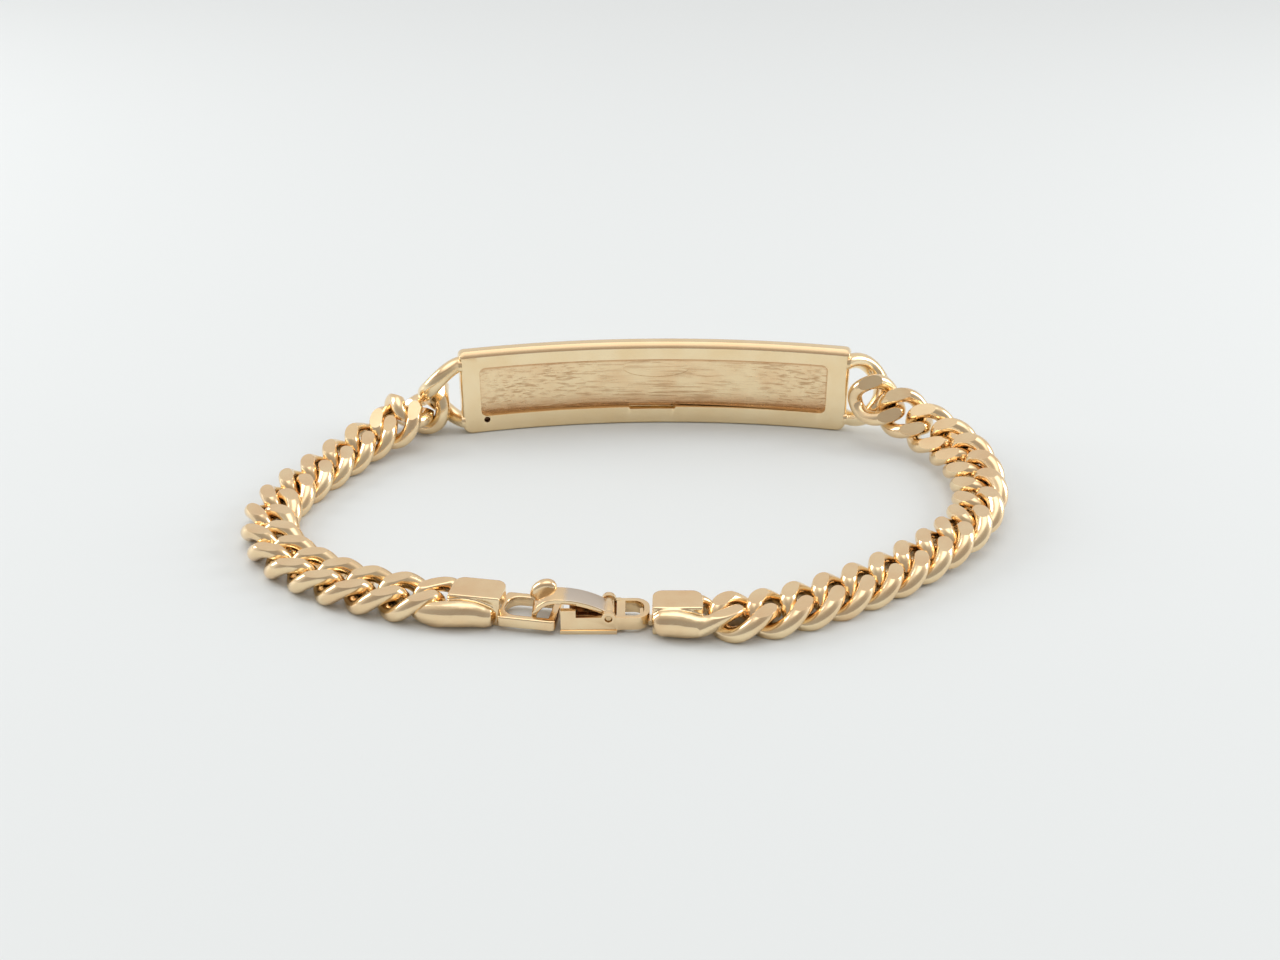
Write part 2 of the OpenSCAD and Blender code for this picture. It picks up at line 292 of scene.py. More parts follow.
def grain(tree, where, scale, stretch, detail):
    turn = newNode(tree, "ShaderNodeMapping")
    turn.inputs["Scale"].default_value = stretch
    tree.links.new(where, turn.inputs["Vector"])
    noise = newNode(tree, "ShaderNodeTexNoise")
    noise.inputs["Scale"].default_value = scale
    noise.inputs["Detail"].default_value = detail
    tree.links.new(turn.outputs["Vector"], noise.inputs["Vector"])
    return noise.outputs["Fac"]


def tint(tree, factor, under, over):
    node = newNode(tree, "ShaderNodeMix", data_type="RGBA")
    tree.links.new(factor, node.inputs["Factor"])
    for label, colour in (("A", under), ("B", over)):
        if isinstance(colour, tuple):
            node.inputs[label].default_value = (*colour, 1)
        else:
            tree.links.new(colour, node.inputs[label])
    return node.outputs["Result"]


def goldBasis(name, polish, looks):
    material = bpy.data.materials.new(name)
    material.use_nodes = True
    tree = material.node_tree
    shader = tree.nodes["Principled BSDF"]
    shader.inputs["Metallic"].default_value = 1
    wear = newNode(tree, "ShaderNodeGroup", node_tree=polish)
    for label in ("Wave Scale", "Hairline Scale", "Gloss", "Gloss Spread"):
        wear.inputs[label].default_value = looks[label]
    colour = tint(tree, wear.outputs["Tone"], looks["light"], looks["deep"])
    return material, tree, shader, wear, colour


def finishGold(tree, shader, colour, roughness, height, looks):
    tree.links.new(colour, shader.inputs["Base Color"])
    tree.links.new(roughness, shader.inputs["Roughness"])
    bump = newNode(tree, "ShaderNodeBump")
    bump.inputs["Strength"].default_value = looks["bump"]
    bump.inputs["Distance"].default_value = looks["depth"]
    tree.links.new(height, bump.inputs["Height"])
    tree.links.new(bump.outputs["Normal"], shader.inputs["Normal"])


def polishedGold(name, polish, looks):
    material, tree, shader, wear, colour = goldBasis(name, polish, looks)
    finishGold(tree, shader, colour, wear.outputs["Roughness"], wear.outputs["Height"], looks)
    return material


def chamferShadedGold(name, polish, looks):
    # Painted reflection: the ground chamfer, found by which way its faces point, is painted a browner tone
    # than the polished faces, for the dark band it reflects
    material, tree, shader, wear, colour = goldBasis(name, polish, looks)
    facing = axesOf(tree, newNode(tree, "ShaderNodeTexCoord").outputs["Normal"])
    (low, high), soft = looks["chamferShadeFacing"], looks["chamferShadeSoft"]
    paintedLightMask = calc(tree, "MULTIPLY", fade(tree, facing["Z"], low - soft, low),
                fade(tree, facing["Z"], high + soft, high))
    paintedLightMask = calc(tree, "MULTIPLY", paintedLightMask, fade(tree, facing["Y"], *looks["chamferShadeFront"]))
    colour = tint(tree, calc(tree, "MULTIPLY", paintedLightMask, looks["chamferShadeShare"]), colour, looks["chamfer"])
    finishGold(tree, shader, colour, wear.outputs["Roughness"], wear.outputs["Height"], looks)
    return material


def castRecessGold(name, polish, looks):
    # The recess keeps the streaks of its casting
    material, tree, shader, wear, colour = goldBasis(name, polish, looks)
    where = newNode(tree, "ShaderNodeTexCoord").outputs["Object"]
    place = axesOf(tree, where)
    streaks = grain(tree, where, looks["streakScale"], looks["streakStretch"], looks["streakDetail"])
    blotch = grain(tree, where, looks["blotchScale"], looks["blotchStretch"], looks["blotchDetail"])
    patchy = calc(tree, "MULTIPLY", fade(tree, streaks, *looks["streakRange"]),
                  fade(tree, blotch, *looks["blotchRange"]))
    colour = tint(tree, calc(tree, "MULTIPLY", patchy, looks["streakShare"]), colour, looks["streak"])
    # Painted shade: brown is painted in a ragged band above the lower rim, and in a line along the other
    # three, where the recess walls shade the floor
    ragged = calc(tree, "MULTIPLY_ADD", streaks, looks["raggedness"], place["Z"])
    low, high = looks["shadeBand"]
    fromMiddle = calc(tree, "ABSOLUTE", calc(tree, "SUBTRACT", place["X"], looks["middle"]))
    rimShadeLine = calc(tree, "MAXIMUM", fade(tree, fromMiddle, *looks["sideShadeLine"]),
                fade(tree, place["Z"], *looks["topShadeLine"]))
    band = calc(tree, "MAXIMUM", fade(tree, ragged, high, low), rimShadeLine)
    colour = tint(tree, calc(tree, "MULTIPLY", band, looks["shadeShare"]), colour, looks["shadeBrown"])
    roughness = calc(tree, "MULTIPLY_ADD", patchy, looks["streakRoughness"], wear.outputs["Roughness"])
    height = calc(tree, "MULTIPLY_ADD", streaks, looks["streakHeight"], wear.outputs["Height"])
    finishGold(tree, shader, colour, roughness, height, looks)
    return material


def shadedCavityGold(name, polish, looks):
    # Painted shade: the space under the clasp's cover is painted darker, in a mottled patch
    material, tree, shader, wear, colour = goldBasis(name, polish, looks)
    where = newNode(tree, "ShaderNodeTexCoord").outputs["Object"]
    place = axesOf(tree, where)
    paintedLightMask = grain(tree, where, looks["cavityShadeScale"], (1, 1, 1), looks["cavityShadeDetail"])
    paintedLightMask = calc(tree, "MULTIPLY_ADD", paintedLightMask, looks["cavityShadeSpread"], looks["cavityShadeShare"])
    soft = looks["cavityShadeSoft"]
    for axis, (low, high) in zip("XY", looks["cavityShadeArea"]):
        paintedLightMask = calc(tree, "MULTIPLY", paintedLightMask, fade(tree, place[axis], low - soft, low))
        paintedLightMask = calc(tree, "MULTIPLY", paintedLightMask, fade(tree, place[axis], high + soft, high))
    colour = tint(tree, paintedLightMask, colour, looks["cavityShade"])
    finishGold(tree, shader, colour, wear.outputs["Roughness"], wear.outputs["Height"], looks)
    return material


def reflectingCoverGold(name, polish, looks):
    # Painted reflection: the top of the cover, where it faces up, is painted a grey tone and made duller
    material, tree, shader, wear, colour = goldBasis(name, polish, looks)
    coordinates = newNode(tree, "ShaderNodeTexCoord")
    place = axesOf(tree, coordinates.outputs["Object"])
    facing = axesOf(tree, coordinates.outputs["Normal"])
    ragged = grain(tree, coordinates.outputs["Object"], looks["patchScale"], (1, 1, 1), looks["patchDetail"])
    along = calc(tree, "MULTIPLY_ADD", ragged, looks["patchRaggedness"], place["X"])
    (left, right), soft = looks["patch"], looks["patchSoft"]
    paintedLightMask = calc(tree, "MULTIPLY", fade(tree, along, left - soft, left + soft),
                fade(tree, along, right + soft, right - soft))
    paintedLightMask = calc(tree, "MULTIPLY", paintedLightMask, fade(tree, facing["Z"], *looks["patchFacing"]))
    paintedLightMask = calc(tree, "MULTIPLY", paintedLightMask, looks["reflectionShare"])
    colour = tint(tree, paintedLightMask, colour, looks["reflectionGrey"])
    roughness = calc(tree, "MULTIPLY_ADD", paintedLightMask, looks["patchRoughness"], wear.outputs["Roughness"])
    height = calc(tree, "MULTIPLY_ADD", calc(tree, "MULTIPLY", paintedLightMask, ragged), looks["patchHeight"],
                  wear.outputs["Height"])
    finishGold(tree, shader, colour, roughness, height, looks)
    return material


# Lengths on a piece are in metres here, because materials read the finished piece
goldLooks = {
    "light": (0.95, 0.755, 0.475),
    "deep": (0.90, 0.655, 0.39),
    "Wave Scale": 350,
    "Hairline Scale": 9000,
    "Gloss": 0.13,
    "Gloss Spread": 0.12,
    "bump": 0.25,
    "depth": 0.00002,
}
plateLooks = {
    **goldLooks,
    "light": (0.97, 0.79, 0.51),
    "deep": (0.93, 0.72, 0.43),
    # The chamfer keys below paint a dark reflection on the ground chamfer
    "chamferShadeFacing": (0.66, 0.76),
    "chamferShadeSoft": 0.12,
    "chamferShadeFront": (-0.3, -0.5),
    "chamferShadeShare": 0.8,
    "chamfer": (0.62, 0.43, 0.25),
}
recessLooks = {
    **goldLooks,
    "Gloss": 0.14,
    "Gloss Spread": 0.16,
    "bump": 0.35,
    "streakScale": 5200,
    "streakStretch": (0.06, 1, 1),
    "streakDetail": 5,
    "streakRange": (0.45, 0.66),
    "streakShare": 0.72,
    "streakRoughness": 0.18,
    "streakHeight": 3,
    "streak": (0.55, 0.33, 0.17),
    "blotchScale": 260,
    "blotchStretch": (0.5, 1, 1),
    "blotchDetail": 2,
    "blotchRange": (0.25, 0.6),
    # The shade keys below paint the darker band and lines of shade inside the recess
    "shadeBand": (0.0026, 0.0042),
    "raggedness": 0.0016,
    "shadeShare": 0.8,
    "middle": 0.00233,
    "sideShadeLine": (0.01735, 0.01758),
    "topShadeLine": (0.00660, 0.00684),
    "shadeBrown": (0.6, 0.33, 0.16),
}
baseLooks = {
    **goldLooks,
    # These keys paint shade into the space under the cover
    "cavityShadeArea": ((-0.0053, -0.0012), (-0.01835, -0.01630)),
    "cavityShadeSoft": 0.0001,
    "cavityShadeScale": 1500,
    "cavityShadeDetail": 3,
    "cavityShadeSpread": 0.4,
    "cavityShadeShare": 0.6,
    "cavityShade": (0.36, 0.18, 0.09),
}
pitLooks = {
    **goldLooks,
    "light": (0.32, 0.19, 0.10),
    "deep": (0.22, 0.12, 0.07),
    "Gloss": 0.45,
}
coverLooks = {
    **goldLooks,
    # The patch keys below paint a grey reflection on the cover's top
    "patch": (-0.0048, -0.0016),
    "patchSoft": 0.0003,
    "patchFacing": (0.72, 0.9),
    "patchScale": 900,
    "patchDetail": 4,
    "patchRaggedness": 0.0006,
    "reflectionShare": 0.85,
    "patchRoughness": 0.2,
    "patchHeight": 2,
    "reflectionGrey": (0.62, 0.58, 0.53),
}
pinLooks = {
    **goldLooks,
    "light": (0.8, 0.6, 0.35),
    "deep": (0.7, 0.5, 0.28),
}
polish = buildPolishGroup()
chainGold = polishedGold("chain_gold", polish, goldLooks)
plateGold = chamferShadedGold("plate_gold", polish, plateLooks)
claspGold = polishedGold("clasp_gold", polish, goldLooks)
baseGold = shadedCavityGold("clasp_base_gold", polish, baseLooks)
recessGold = castRecessGold("plate_recess_gold", polish, recessLooks)
pitGold = polishedGold("plate_pit_brown", polish, pitLooks)
coverGold = reflectingCoverGold("clasp_cover_gold", polish, coverLooks)
pinGold = polishedGold("pin_gold", polish, pinLooks)
print("materials made")

# The chain: one link is modelled and then laid where each link of the frame lies.
# A ring's reach and width run from its middle to the middle of its wire
wireDetail = {"along": 22, "round": 9}
linkShape = {
    "ring": {"reach": 2.3, "width": 1.88, "wire": 1.44, "twist": 108},
    "thick": 2.35,
    "edge": 0.18,
    "edgeAngle": 22,
}


def twistedRing(reach, width, wire, twist, name, swell=0):
    # The centreline is twisted first, so that the wire stays round. Swell thickens the wire at the middle
    deselect()
    bpy.ops.curve.primitive_bezier_circle_add(radius=1)
    ring = bpy.context.object
    ring.name = name
    bpy.ops.object.mode_set(mode="EDIT")
    bpy.ops.curve.select_all(action="SELECT")
    bpy.ops.transform.resize(value=(reach, width, 1))
    finishEdit()
    ring.data.resolution_u = wireDetail["along"]
    bpy.ops.object.convert(target="MESH")
    ring = bpy.context.object
    applyModifier(ring, "SIMPLE_DEFORM", deform_method="TWIST", deform_axis="X", angle=-math.radians(twist))
    bpy.ops.object.convert(target="CURVE")
    ring = bpy.context.object
    ring.data.bevel_depth = wire / 2
    ring.data.bevel_resolution = wireDetail["round"]
    for point in ring.data.splines[0].points:
        point.radius = 1 + swell * (1 - abs(point.co.x) / reach)
    bpy.ops.object.convert(target="MESH")
    return bpy.context.object


def grindFlat(piece, height):
    for side in (1, -1):
        editAll(piece)
        cutOff((0, 0, side * height / 2), (0, 0, side))
        finishEdit()


def halfRing(ringShape, stub, name, thick=None):
    ring = twistedRing(**ringShape, name=name)
    if thick:
        grindFlat(ring, thick)
    editAll(ring)
    cutOff((0, 0, 0), (1, 0, 0))
    bpy.ops.mesh.extrude_region_move(TRANSFORM_OT_translate={"value": (stub, 0, 0)})
    finishEdit()
    return ring


def modelLink():
    shape = linkShape
    link = twistedRing(**shape["ring"], name="link")
    grindFlat(link, shape["thick"])
    edged(link, shape["edge"], shape["edgeAngle"], 2)
    smoothShade(link, 35, weighted=True)
    return link


def linkPlace(node):
    # The node's spread gives the link's long, wide and flat directions
    corners = np.unique(np.round([corner.co[:] for corner in node.data.vertices], 7), axis=0)
    middle = corners.mean(axis=0)
    spread = np.linalg.svd(corners - middle, full_matrices=False)[2]
    along, across = Vector(spread[0]), Vector(spread[1])
    place = Matrix((along, across, along.cross(across))).transposed().to_4x4()
    place.translation = Vector(middle)
    return place @ Matrix.Scale(mm, 4)


def layChain():
    model = modelLink()
    for name, node in sorted(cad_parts.items()):
        if name.startswith("link_"):
            piece = copyOf(model, name.replace("link", "chain_link"))
            setInPlace(piece, linkPlace(node))
            piece.data.materials.append(chainGold)
            handOver(piece, "bracelet", name)
    bpy.data.objects.remove(model)


# The plate: a bar with a recess, ground edges and a half ring at each end, bent to the wrist
plateShape = {
    "height": 8.9,
    "thick": 1.6,
    "innerRadius": 80.7,
    "halfAngle": 13.9,
    "middle": (1.46, 12.15),
    "yaw": 1,
    "bottomCorner": 1.0,
    "topCorner": 0.6,
    "chamfer": 0.5,
    "frontRound": 0.3,
    "backRound": 0.3,
    "recessLow": (-17.9, -2.65),
    "recessHigh": (17.7, 2.8),
    "recessCorner": 0.6,
    "recessDepth": 0.7,
    "draft": 0.1,
    "edge": 0.13,
    "slice": 0.5,
    "ring": {"reach": 3.4, "width": 3.1, "wire": 1.76, "twist": 108, "swell": -0.14},
    "ringTurn": 0.35,
    "stub": 0.35,
    "wearLow": (-2.6, -2.8),
    "wearHigh": (2.2, -2.0),
    "wearCorner": 0.18,
    "wearStep": 0.02,
    "pit": (-17.3, -3.0),
    "pitRadius": 0.32,
    "pitDepth": 0.6,
    "oval": (0.2, 1.55),
    "ovalSize": (3.4, 1.05),
    "ovalDepth": 0.045,
}


def plateFrame():
    # Middle of the plate's thickness, half way up, with X along the plate and -Y towards the wrist
    shape = plateShape
    yaw = math.radians(shape["yaw"])
    x, y = shape["middle"]
    reach = shape["thick"] / 2
    place = Matrix.Translation(
        (x - reach * math.sin(yaw), y + reach * math.cos(yaw), shape["height"] / 2))
    return place @ Matrix.Rotation(yaw, 4, "Z")


def plateRadius():
    return plateShape["innerRadius"] + plateShape["thick"] / 2


def modelPlateBar():
    shape = plateShape
    half = math.radians(shape["halfAngle"]) * plateRadius()
    t, h = shape["thick"] / 2, shape["height"] / 2
    bar = block((-half, -t, -h), (half, t, h), "id_plate_bar")
    for level, radius in ((-h, shape["bottomCorner"]), (h, shape["topCorner"])):
        pickEdges(bar, lambda a, b: (
            abs(a.x - b.x) < touch and abs(a.z - level) + abs(b.z - level) < touch))
        bevelPicked(radius, 8)
    pickEdges(bar, lambda a, b: max(a.y, b.y) < -t + touch and min(a.z, b.z) < h - touch)
    bevelPicked(shape["frontRound"], 4)
    pickEdges(bar, lambda a, b: min(a.y, b.y) > t - touch)
    bevelPicked(shape["backRound"], 4)
    # The top front edge is ground to a flat chamfer
    editAll(bar)
    cutOff((0, -t, h - shape["chamfer"]), (0, -1, 1))
    finishEdit()
    return bar, half


def sinkRecess(bar):
    shape = plateShape
    t, depth = shape["thick"] / 2, shape["recessDepth"]
    (x0, z0), (x1, z1) = shape["recessLow"], shape["recessHigh"]
    cutter = block((x0, -t - depth, z0), (x1, depth - t, z1), "recess_cutter")
    pickEdges(cutter, lambda a, b: abs(a.y - b.y) > depth)
    bevelPicked(shape["recessCorner"], 5)
    pickFaces(cutter, lambda face: face.normal.y > 0.9)
    narrower = [1 - 2 * shape["draft"] / (high - low) for low, high in ((x0, x1), (z0, z1))]
    bpy.ops.transform.resize(
        value=(narrower[0], 1, narrower[1]), center_override=((x0 + x1) / 2, 0, (z0 + z1) / 2))
    finishEdit()
    # Worn stretch of the lower rim, and a casting pit near its left end
    (x0, z0), (x1, z1) = shape["wearLow"], shape["wearHigh"]
    worn = block((x0, -t - depth, z0), (x1, depth - t - shape["wearStep"], z1), "worn_rim")
    pickEdges(worn, lambda a, b: abs(a.y - b.y) > depth)
    bevelPicked(shape["wearCorner"], 3)
    pit = rodAlongY(*shape["pit"], -t - overcut, -t + shape["pitDepth"], shape["pitRadius"], 10)
    combine(bar, [cutter, worn, pit], "DIFFERENCE")


def plateEndRing(side):
    shape = plateShape
    ring = halfRing(shape["ring"], shape["stub"], "plate_ring")
    yaw, half = math.radians(shape["yaw"]), math.radians(shape["halfAngle"])
    end = math.pi / 2 + yaw - side * half
    x, y = shape["middle"]
    inner, radius = shape["innerRadius"], plateRadius()
    centre = (x + inner * math.sin(yaw), y - inner * math.cos(yaw))
    turn = side * half * shape["ringTurn"]
    out = Vector((side * math.cos(turn), -side * math.sin(turn), 0))
    flat = Vector((side * out.y, -side * out.x, 0))
    place = Matrix((-out, flat.cross(-out), flat)).transposed().to_4x4()
    place.translation = (centre[0] + radius * math.cos(end), centre[1] + radius * math.sin(end),
                         shape["height"] / 2)
    setInPlace(ring, place)
    return ring


def makePlate():
    shape = plateShape
    plate, half = modelPlateBar()
    sinkRecess(plate)
    for gold in (plateGold, recessGold, pitGold):
        plate.data.materials.append(gold)
    floorDepth = shape["recessDepth"] - shape["thick"] / 2
    pitX, pitZ = shape["pit"]
    for face in plate.data.polygons:
        inRecess = abs(face.center.y - floorDepth) < shape["wearStep"] and face.normal.y < -0.9
        inPit = math.hypot(face.center.x - pitX, face.center.z - pitZ) < shape["pitRadius"]
        face.material_index = 2 if inPit else int(inRecess)
    edged(plate, shape["edge"], segments=2)
    # A plain sunk oval near the upper rim
    x, z = shape["oval"]
    long, high = shape["ovalSize"]
    oval = rodAlongY(0, 0, -shape["thick"], floorDepth + shape["ovalDepth"], 1)
    setInPlace(oval, Matrix.Translation((x, 0, z)) @ Matrix.Diagonal((long, 1, high, 1)))
    for gold in (plateGold, recessGold):
        oval.data.materials.append(gold)
    for face in oval.data.polygons:
        face.material_index = 1
    combine(plate, [oval], "DIFFERENCE")
    # Slices across the bar let it bend smoothly
    editAll(plate)
    for k in range(1, int(2 * half / shape["slice"])):
        bpy.ops.mesh.select_all(action="SELECT")
        bpy.ops.mesh.bisect(plane_co=(k * shape["slice"] - half, 0, 0), plane_no=(1, 0, 0))
    finishEdit()
    applyModifier(plate, "SIMPLE_DEFORM", deform_method="BEND", deform_axis="Z",
                  angle=-2 * math.radians(shape["halfAngle"]))
    setInPlace(plate, plateFrame())
    combine(plate, [plateEndRing(-1), plateEndRing(1)])
    setInPlace(plate, layout)
    smoothShade(plate, 28, weighted=True)
    plate.name = "id_plate_body"
    handOver(plate, "bracelet", "id_plate")


# The caps: cast blocks whose near side flows on as one strand of a half ring
capShape = {
    "length": 3.9,
    "back": {"left": 1.95, "right": 1.6},
    "front": {"left": 0.95, "right": 1.1},
    "ringSide": {"left": 0.5, "right": 0.2},
    "height": 2.65,
    "corner": 0.9,
    "ring": {"reach": 3.3, "width": 1.9, "wire": 1.34, "twist": 108},
    "ringHeight": 1.2,
    "ringInset": 0.1,
    "thick": 2.35,
    "stub": 0.15,
    "grain": 0.07,
    "strandFlatness": 0.78,
    "soften": 14,
}
# Near tells which way along its own Y a block's near side lies. The strands flow from its near and far
# sides into the ring, and each point of one has its x towards the ring, y, z and radius
capPlaces = {
    "right": {
        "middle": (2.95, -24.85),
        "turn": 180,
        "near": 1,
        "strand": ((-1.93, 1.15, 1.15, 0.35), (-1.75, 1.15, 1.2, 0.85), (-1.2, 1.25, 1.28, 1.18),
                   (0.0, 1.35, 1.3, 1.24), (1.0, 1.5, 1.22, 1.15), (1.9, 1.7, 1.28, 0.98),
                   (2.8, 1.72, 1.55, 0.8), (3.6, 1.45, 1.8, 0.66)),
        "farStrand": ((0.3, -1.0, 1.2, 0.3), (0.6, -1.1, 1.2, 0.8), (1.3, -1.5, 1.2, 0.85),
                      (2.1, -1.78, 1.1, 0.8), (2.7, -1.75, 0.9, 0.62)),
    },
    "left": {
        "middle": (-13.15, -23.45),
        "turn": -10,
        "near": -1,
        "strand": ((-1.5, -1.1, 1.0, 0.35), (-1.32, -1.1, 1.0, 0.8), (-0.7, -1.2, 1.02, 1.02),
                   (0.3, -1.3, 1.18, 1.17), (1.3, -1.5, 1.25, 1.22), (2.3, -1.65, 1.2, 1.18),
                   (3.3, -1.65, 1.12, 1.1), (4.4, -1.45, 1.0, 0.98), (5.3, -1.1, 0.92, 0.62)),
        "farStrand": ((0.3, 1.2, 1.3, 0.3), (0.6, 1.25, 1.3, 0.9), (1.3, 1.45, 1.4, 1.02),
                      (2.1, 1.6, 1.5, 0.98), (2.9, 1.6, 1.6, 0.7)),
    },
}


def taperedStrand(points, flatness, name):
    deselect()
    strand = bpy.data.curves.new(name, "CURVE")
    strand.dimensions = "3D"
    spline = strand.splines.new("BEZIER")
    spline.bezier_points.add(len(points) - 1)
    for knot, (x, y, z, radius) in zip(spline.bezier_points, points):
        knot.co = (-x, y / flatness, z)
        knot.radius = radius
        knot.handle_left_type = knot.handle_right_type = "AUTO"
    strand.bevel_depth = 1
    strand.bevel_resolution = 6
    strand.use_fill_caps = True
    piece = bpy.data.objects.new(name, strand)
    bpy.context.scene.collection.objects.link(piece)
    makeActive(piece)
    bpy.ops.object.convert(target="MESH")
    strand = bpy.context.object
    editAll(strand)
    bpy.ops.transform.resize(value=(1, flatness, 1), center_override=(0, 0, 0))
    finishEdit()
    return strand


def modelCap(side):
    # Local X points from the ring to the clasp
    shape, place = capShape, capPlaces[side]
    length = shape["length"] / 2
    sides = sorted((place["near"] * shape["front"][side], -place["near"] * shape["back"][side]))
    body = block((-length - shape["ringSide"][side], sides[0], 0), (length, sides[1], shape["height"]),
                 f"cap_{side}_body")
    pickEdges(body, lambda a, b: isUpright(a, b) and a.y * place["near"] < 0)
    bevelPicked(shape["corner"], 6)
    ring = halfRing(shape["ring"], shape["stub"], "cap_ring", shape["thick"])
    setInPlace(ring, Matrix.Translation((shape["ringInset"] - length, 0, shape["ringHeight"])))
    strands = [taperedStrand(place[key], shape["strandFlatness"], "cap_strand")
               for key in ("strand", "farStrand")]
    joinTo(body, [ring, *strands])
    applyModifier(body, "REMESH", mode="VOXEL", voxel_size=shape["grain"])
    applyModifier(body, "SMOOTH", factor=0.5, iterations=shape["soften"])
    return body


def capToLayout(side):
    place = capPlaces[side]
    spot = Matrix.Translation((*place["middle"], 0))
    return spot @ Matrix.Rotation(math.radians(place["turn"]), 4, "Z")


catchShape = {
    "length": 4.85, "width": 3.85, "offset": 0.35, "bottom": 0.4, "top": 1.35,
    "bar": 0.62, "rootBar": 0.35, "root": 0.2,
    "corner": 0.35, "holeRound": 1.05, "edge": 0.14,
}
lugShape = {
    "left": 0, "front": -24.85, "width": 0.9, "bottom": 0.2, "thick": 0.45, "top": 1.3,
    "upright": 0.25, "root": 0.3, "edge": 0.06,
}


def catchRing():
    shape = catchShape
    x0 = capShape["length"] / 2 - shape["root"]
    x1, half = x0 + shape["length"], shape["width"] / 2
    middleX = (x0 + x1) / 2
    middle, bar = shape["offset"], shape["bar"]
    ring = block((x0, middle - half, shape["bottom"]), (x1, middle + half, shape["top"]), "catch_ring")
    pickEdges(ring, isUpright)
    bevelPicked(shape["corner"], 4)
    hole = block((x0 + shape["rootBar"], middle - half + bar, -overcut),
                 (x1 - bar, middle + half - bar, shape["top"] + overcut), "catch_hole")
    # Only the corners towards the cap are round
    pickEdges(hole, lambda a, b: isUpright(a, b) and max(a.x, b.x) < middleX)
    bevelPicked(shape["holeRound"], 8)
    combine(ring, [hole], "DIFFERENCE")
    return edged(ring, shape["edge"])


def makeCaps():
    left = modelCap("left")
    combine(left, [catchRing()])
    setInPlace(left, layout @ capToLayout("left"))
    right = modelCap("right")
    setInPlace(right, capToLayout("right"))
    # The lug reaches under the clasp base's end bar and stands up inside its window
    lug = lugShape
    corner = (lug["left"], lug["front"], lug["bottom"])
    end = capPlaces["right"]["middle"][0] - capShape["length"] / 2 + lug["root"]
    back = lug["front"] + lug["width"]
    arm = block(corner, (end, back, lug["bottom"] + lug["thick"]), "lug_arm")
    combine(arm, [block(corner, (lug["left"] + lug["upright"], back, lug["top"]), "lug_upright")])
    combine(right, [edged(arm, lug["edge"])])
    setInPlace(right, layout)
    for cap, node in ((left, "cap_left"), (right, "cap_right")):
        cap.data.materials.clear()
        cap.data.materials.append(claspGold)
        smoothShade(cap, 32)
        handOver(cap, "bracelet", node)


# The clasp: a flat frame with a hinge, and a cover that folds over the catch ring
claspShape = {
    "left": -6.4, "leftBack": -5.8, "right": 0.8, "front": -25.7, "back": -22.7,
    "rail": 0.42, "railBottom": 0.3, "railTop": 1.5,
    "ear": 1.2, "earTop": 2.15,
    "web": (-1.9, -1.2), "windowCut": (-1, 4),
    "endBar": 0.45, "endBarBottom": 0.75, "endCorner": 1.2, "holeCorner": 0.85, "lugGap": 0.15,
    "floorTop": 0.36, "floorLeft": -6.5, "floorRight": -1.87, "floorFront": -25.86,
    "hinge": (-2.55, 1.4), "hingeLug": 0.6, "knuckle": 0.5,
    "pin": 0.3, "pinGap": 0.02, "pinInset": 0.05, "pinDome": 0.12,
    "step": 0.03, "edge": 0.07,
}
coverShape = {
    "front": -25.2, "width": 2.0, "thick": 0.42,
    "crest": (-6.8, 2.88), "arch": 7.8, "bend": 2.13,
    "strapBottom": 1.5, "tongueBottom": 0.65, "tongueInset": 0.3, "tongueSink": 0.06,
    "tab": (-7.9, 2.55), "tabTilt": -35, "tabThick": 1.0, "tabRound": 0.42,
    "tabRadius": 1.0, "tabStretch": (1.2, 0.88),
    "edge": 0.09, "knuckleEdge": 0.05, "bore": 0.03, "spinSteps": 24,
}


def makeClaspBase():
    c = claspShape
    front, back, rail = c["front"], c["back"], c["rail"]
    low, top = c["railBottom"], c["railTop"]
    step, hinge = c["step"], c["hinge"]
    # The end that hangs on the right cap is a rounded loop, with a way under its bar for the cap's lug
    base = block((c["web"][0], front + step, low + step),
                 (c["right"], back - step, top - step), "clasp_base_body")
    cutLow, cutHigh = c["windowCut"]
    window = block((c["web"][1], front + rail, cutLow),
                   (c["right"] - c["endBar"], back - rail, cutHigh), "clasp_window")
    for piece, corner in ((base, c["endCorner"]), (window, c["holeCorner"])):
        pickEdges(piece, lambda a, b: isUpright(a, b) and min(a.x, b.x) > 0)
        bevelPicked(corner, 7)
    gap, lug = c["lugGap"], lugShape
    way = block((lug["left"], lug["front"] - gap, -overcut),
                (c["right"] + overcut, lug["front"] + lug["width"] + gap, c["endBarBottom"]), "lug_way")
    combine(base, [window, way], "DIFFERENCE")
    # Each part stands a hair proud of the next, as on the cast piece
    railEnd = (c["web"][0] + c["web"][1]) / 2
    combine(base, [
        block((c["left"], front, low), (railEnd, front + rail, top)),
        block((c["leftBack"], back - rail, low), (railEnd, back, top)),
        block((c["left"] - step, front - step, low + step),
              (c["left"] + c["ear"], front + rail + step, c["earTop"])),
        block((c["leftBack"] - step, back - rail - step, low + step),
              (c["leftBack"] + c["ear"], back + step, c["earTop"])),
        rodAlongY(*hinge, front - 2 * step, front + rail - step, c["hingeLug"]),
        rodAlongY(*hinge, back - rail + step, back + 2 * step, c["hingeLug"]),
    ])
    # The floor narrows towards the back
    left = c["floorLeft"]
    floor = block((left, c["floorFront"], 0), (c["floorRight"], back, c["floorTop"]), "clasp_floor")
    pickEdges(floor, lambda a, b: min(a.y, b.y) > back - touch and max(a.x, b.x) < left + touch)
    bpy.ops.transform.translate(value=(c["leftBack"] - left, 0, 0))
    finishEdit()
    combine(base, [floor])
    bore = rodAlongY(*hinge, front - overcut, back + overcut, c["pin"] + c["pinGap"])
    combine(base, [bore], "DIFFERENCE")
    edged(base, c["edge"], 35, 2)
    setInPlace(base, layout)
    base.data.materials.append(baseGold)
    smoothShade(base, 32)
    handOver(base, "bracelet", "clasp_base")


